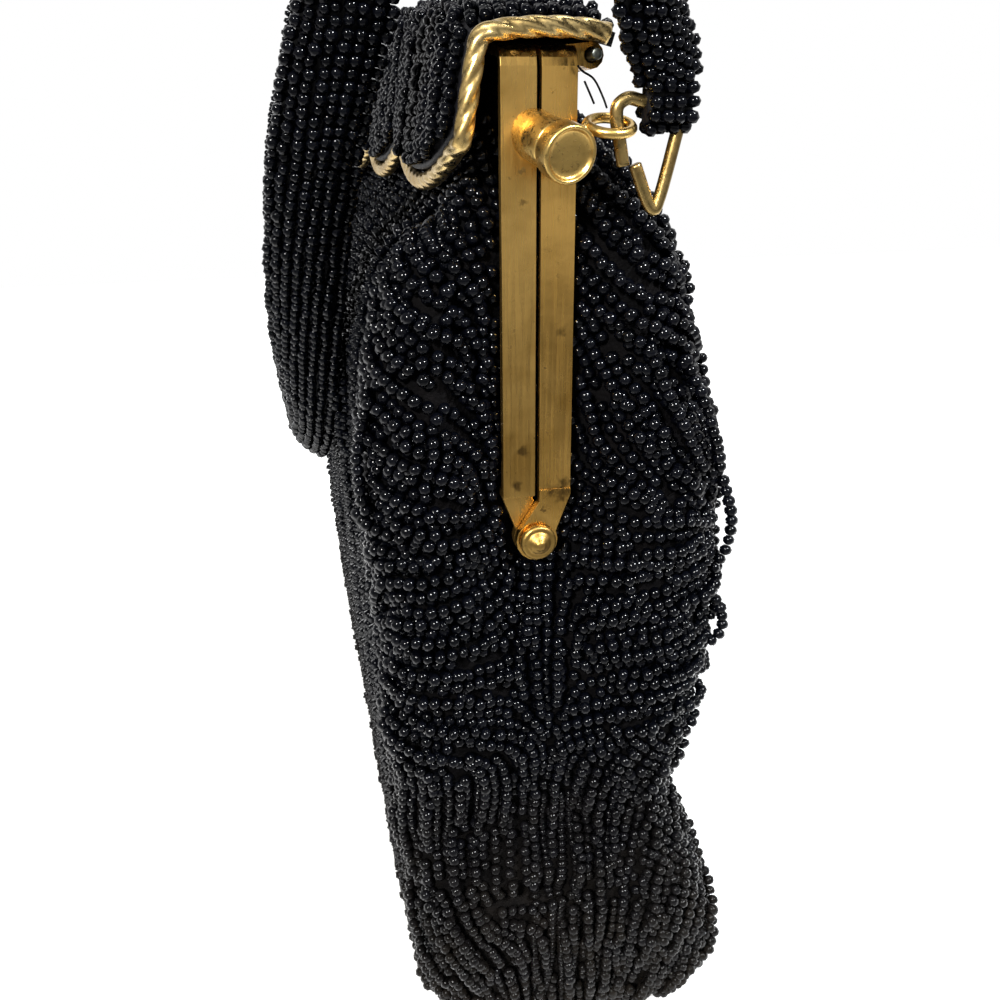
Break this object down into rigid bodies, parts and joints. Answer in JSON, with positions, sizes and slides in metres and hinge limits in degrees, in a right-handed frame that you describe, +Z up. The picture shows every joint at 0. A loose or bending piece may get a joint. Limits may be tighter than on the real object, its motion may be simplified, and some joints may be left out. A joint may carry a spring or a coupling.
{
  "type": "beaded clutch bag with frame, flap and strap",
  "caption": "Black beaded evening clutch: a soft hollow pouch gathered to a riveted gilt frame, with a scalloped flap hinged behind, rope trim, knobs, wire rings and a short beaded strap.",
  "frame": {"origin": "centre of the flat base that the bag stands on", "axes": "+X along the bag to the end nearest the camera, -Y to its front, +Z up"},
  "size_m": [0.2394, 0.0845, 0.2343],
  "materials": {
    "beaded_cloth": "black cloth covered with strands of glossy seed beads",
    "beaded_strap": "rows of glossy seed beads over a plain satin back",
    "beaded_flap": "strands of glossy seed beads over a stiff panel",
    "gilt_rope": "twisted gilt wire, worn pale",
    "gilt_pale": "brushed gilt, worn and spotted",
    "gilt_amber": "polished gilt, ambered with age",
    "gilt_wire": "polished gilt wire",
    "steel": "dull drawn steel"
  },
  "bodies": {
    "bag": {"pouch": "beaded_cloth", "strap": "beaded_strap", "front_frame": "gilt_pale", "back_frame": "gilt_amber", "rivet_right": "gilt_amber", "rivet_left": "gilt_amber", "post_right": "gilt_amber", "post_left": "gilt_amber", "strap_ring_right": "gilt_wire", "strap_ring_left": "gilt_wire", "hinge_pin": "steel"},
    "flap": {"flap_panel": "beaded_flap", "flap_rope": "gilt_rope"}
  },
  "joints": [
    {"name": "flap_hinge", "type": "hinge", "parent": "bag", "child": "flap", "pos_m": [0, -0.0017, 0.194], "axis": [-1, 0, 0], "range_deg": [0, 105]}
  ]
}
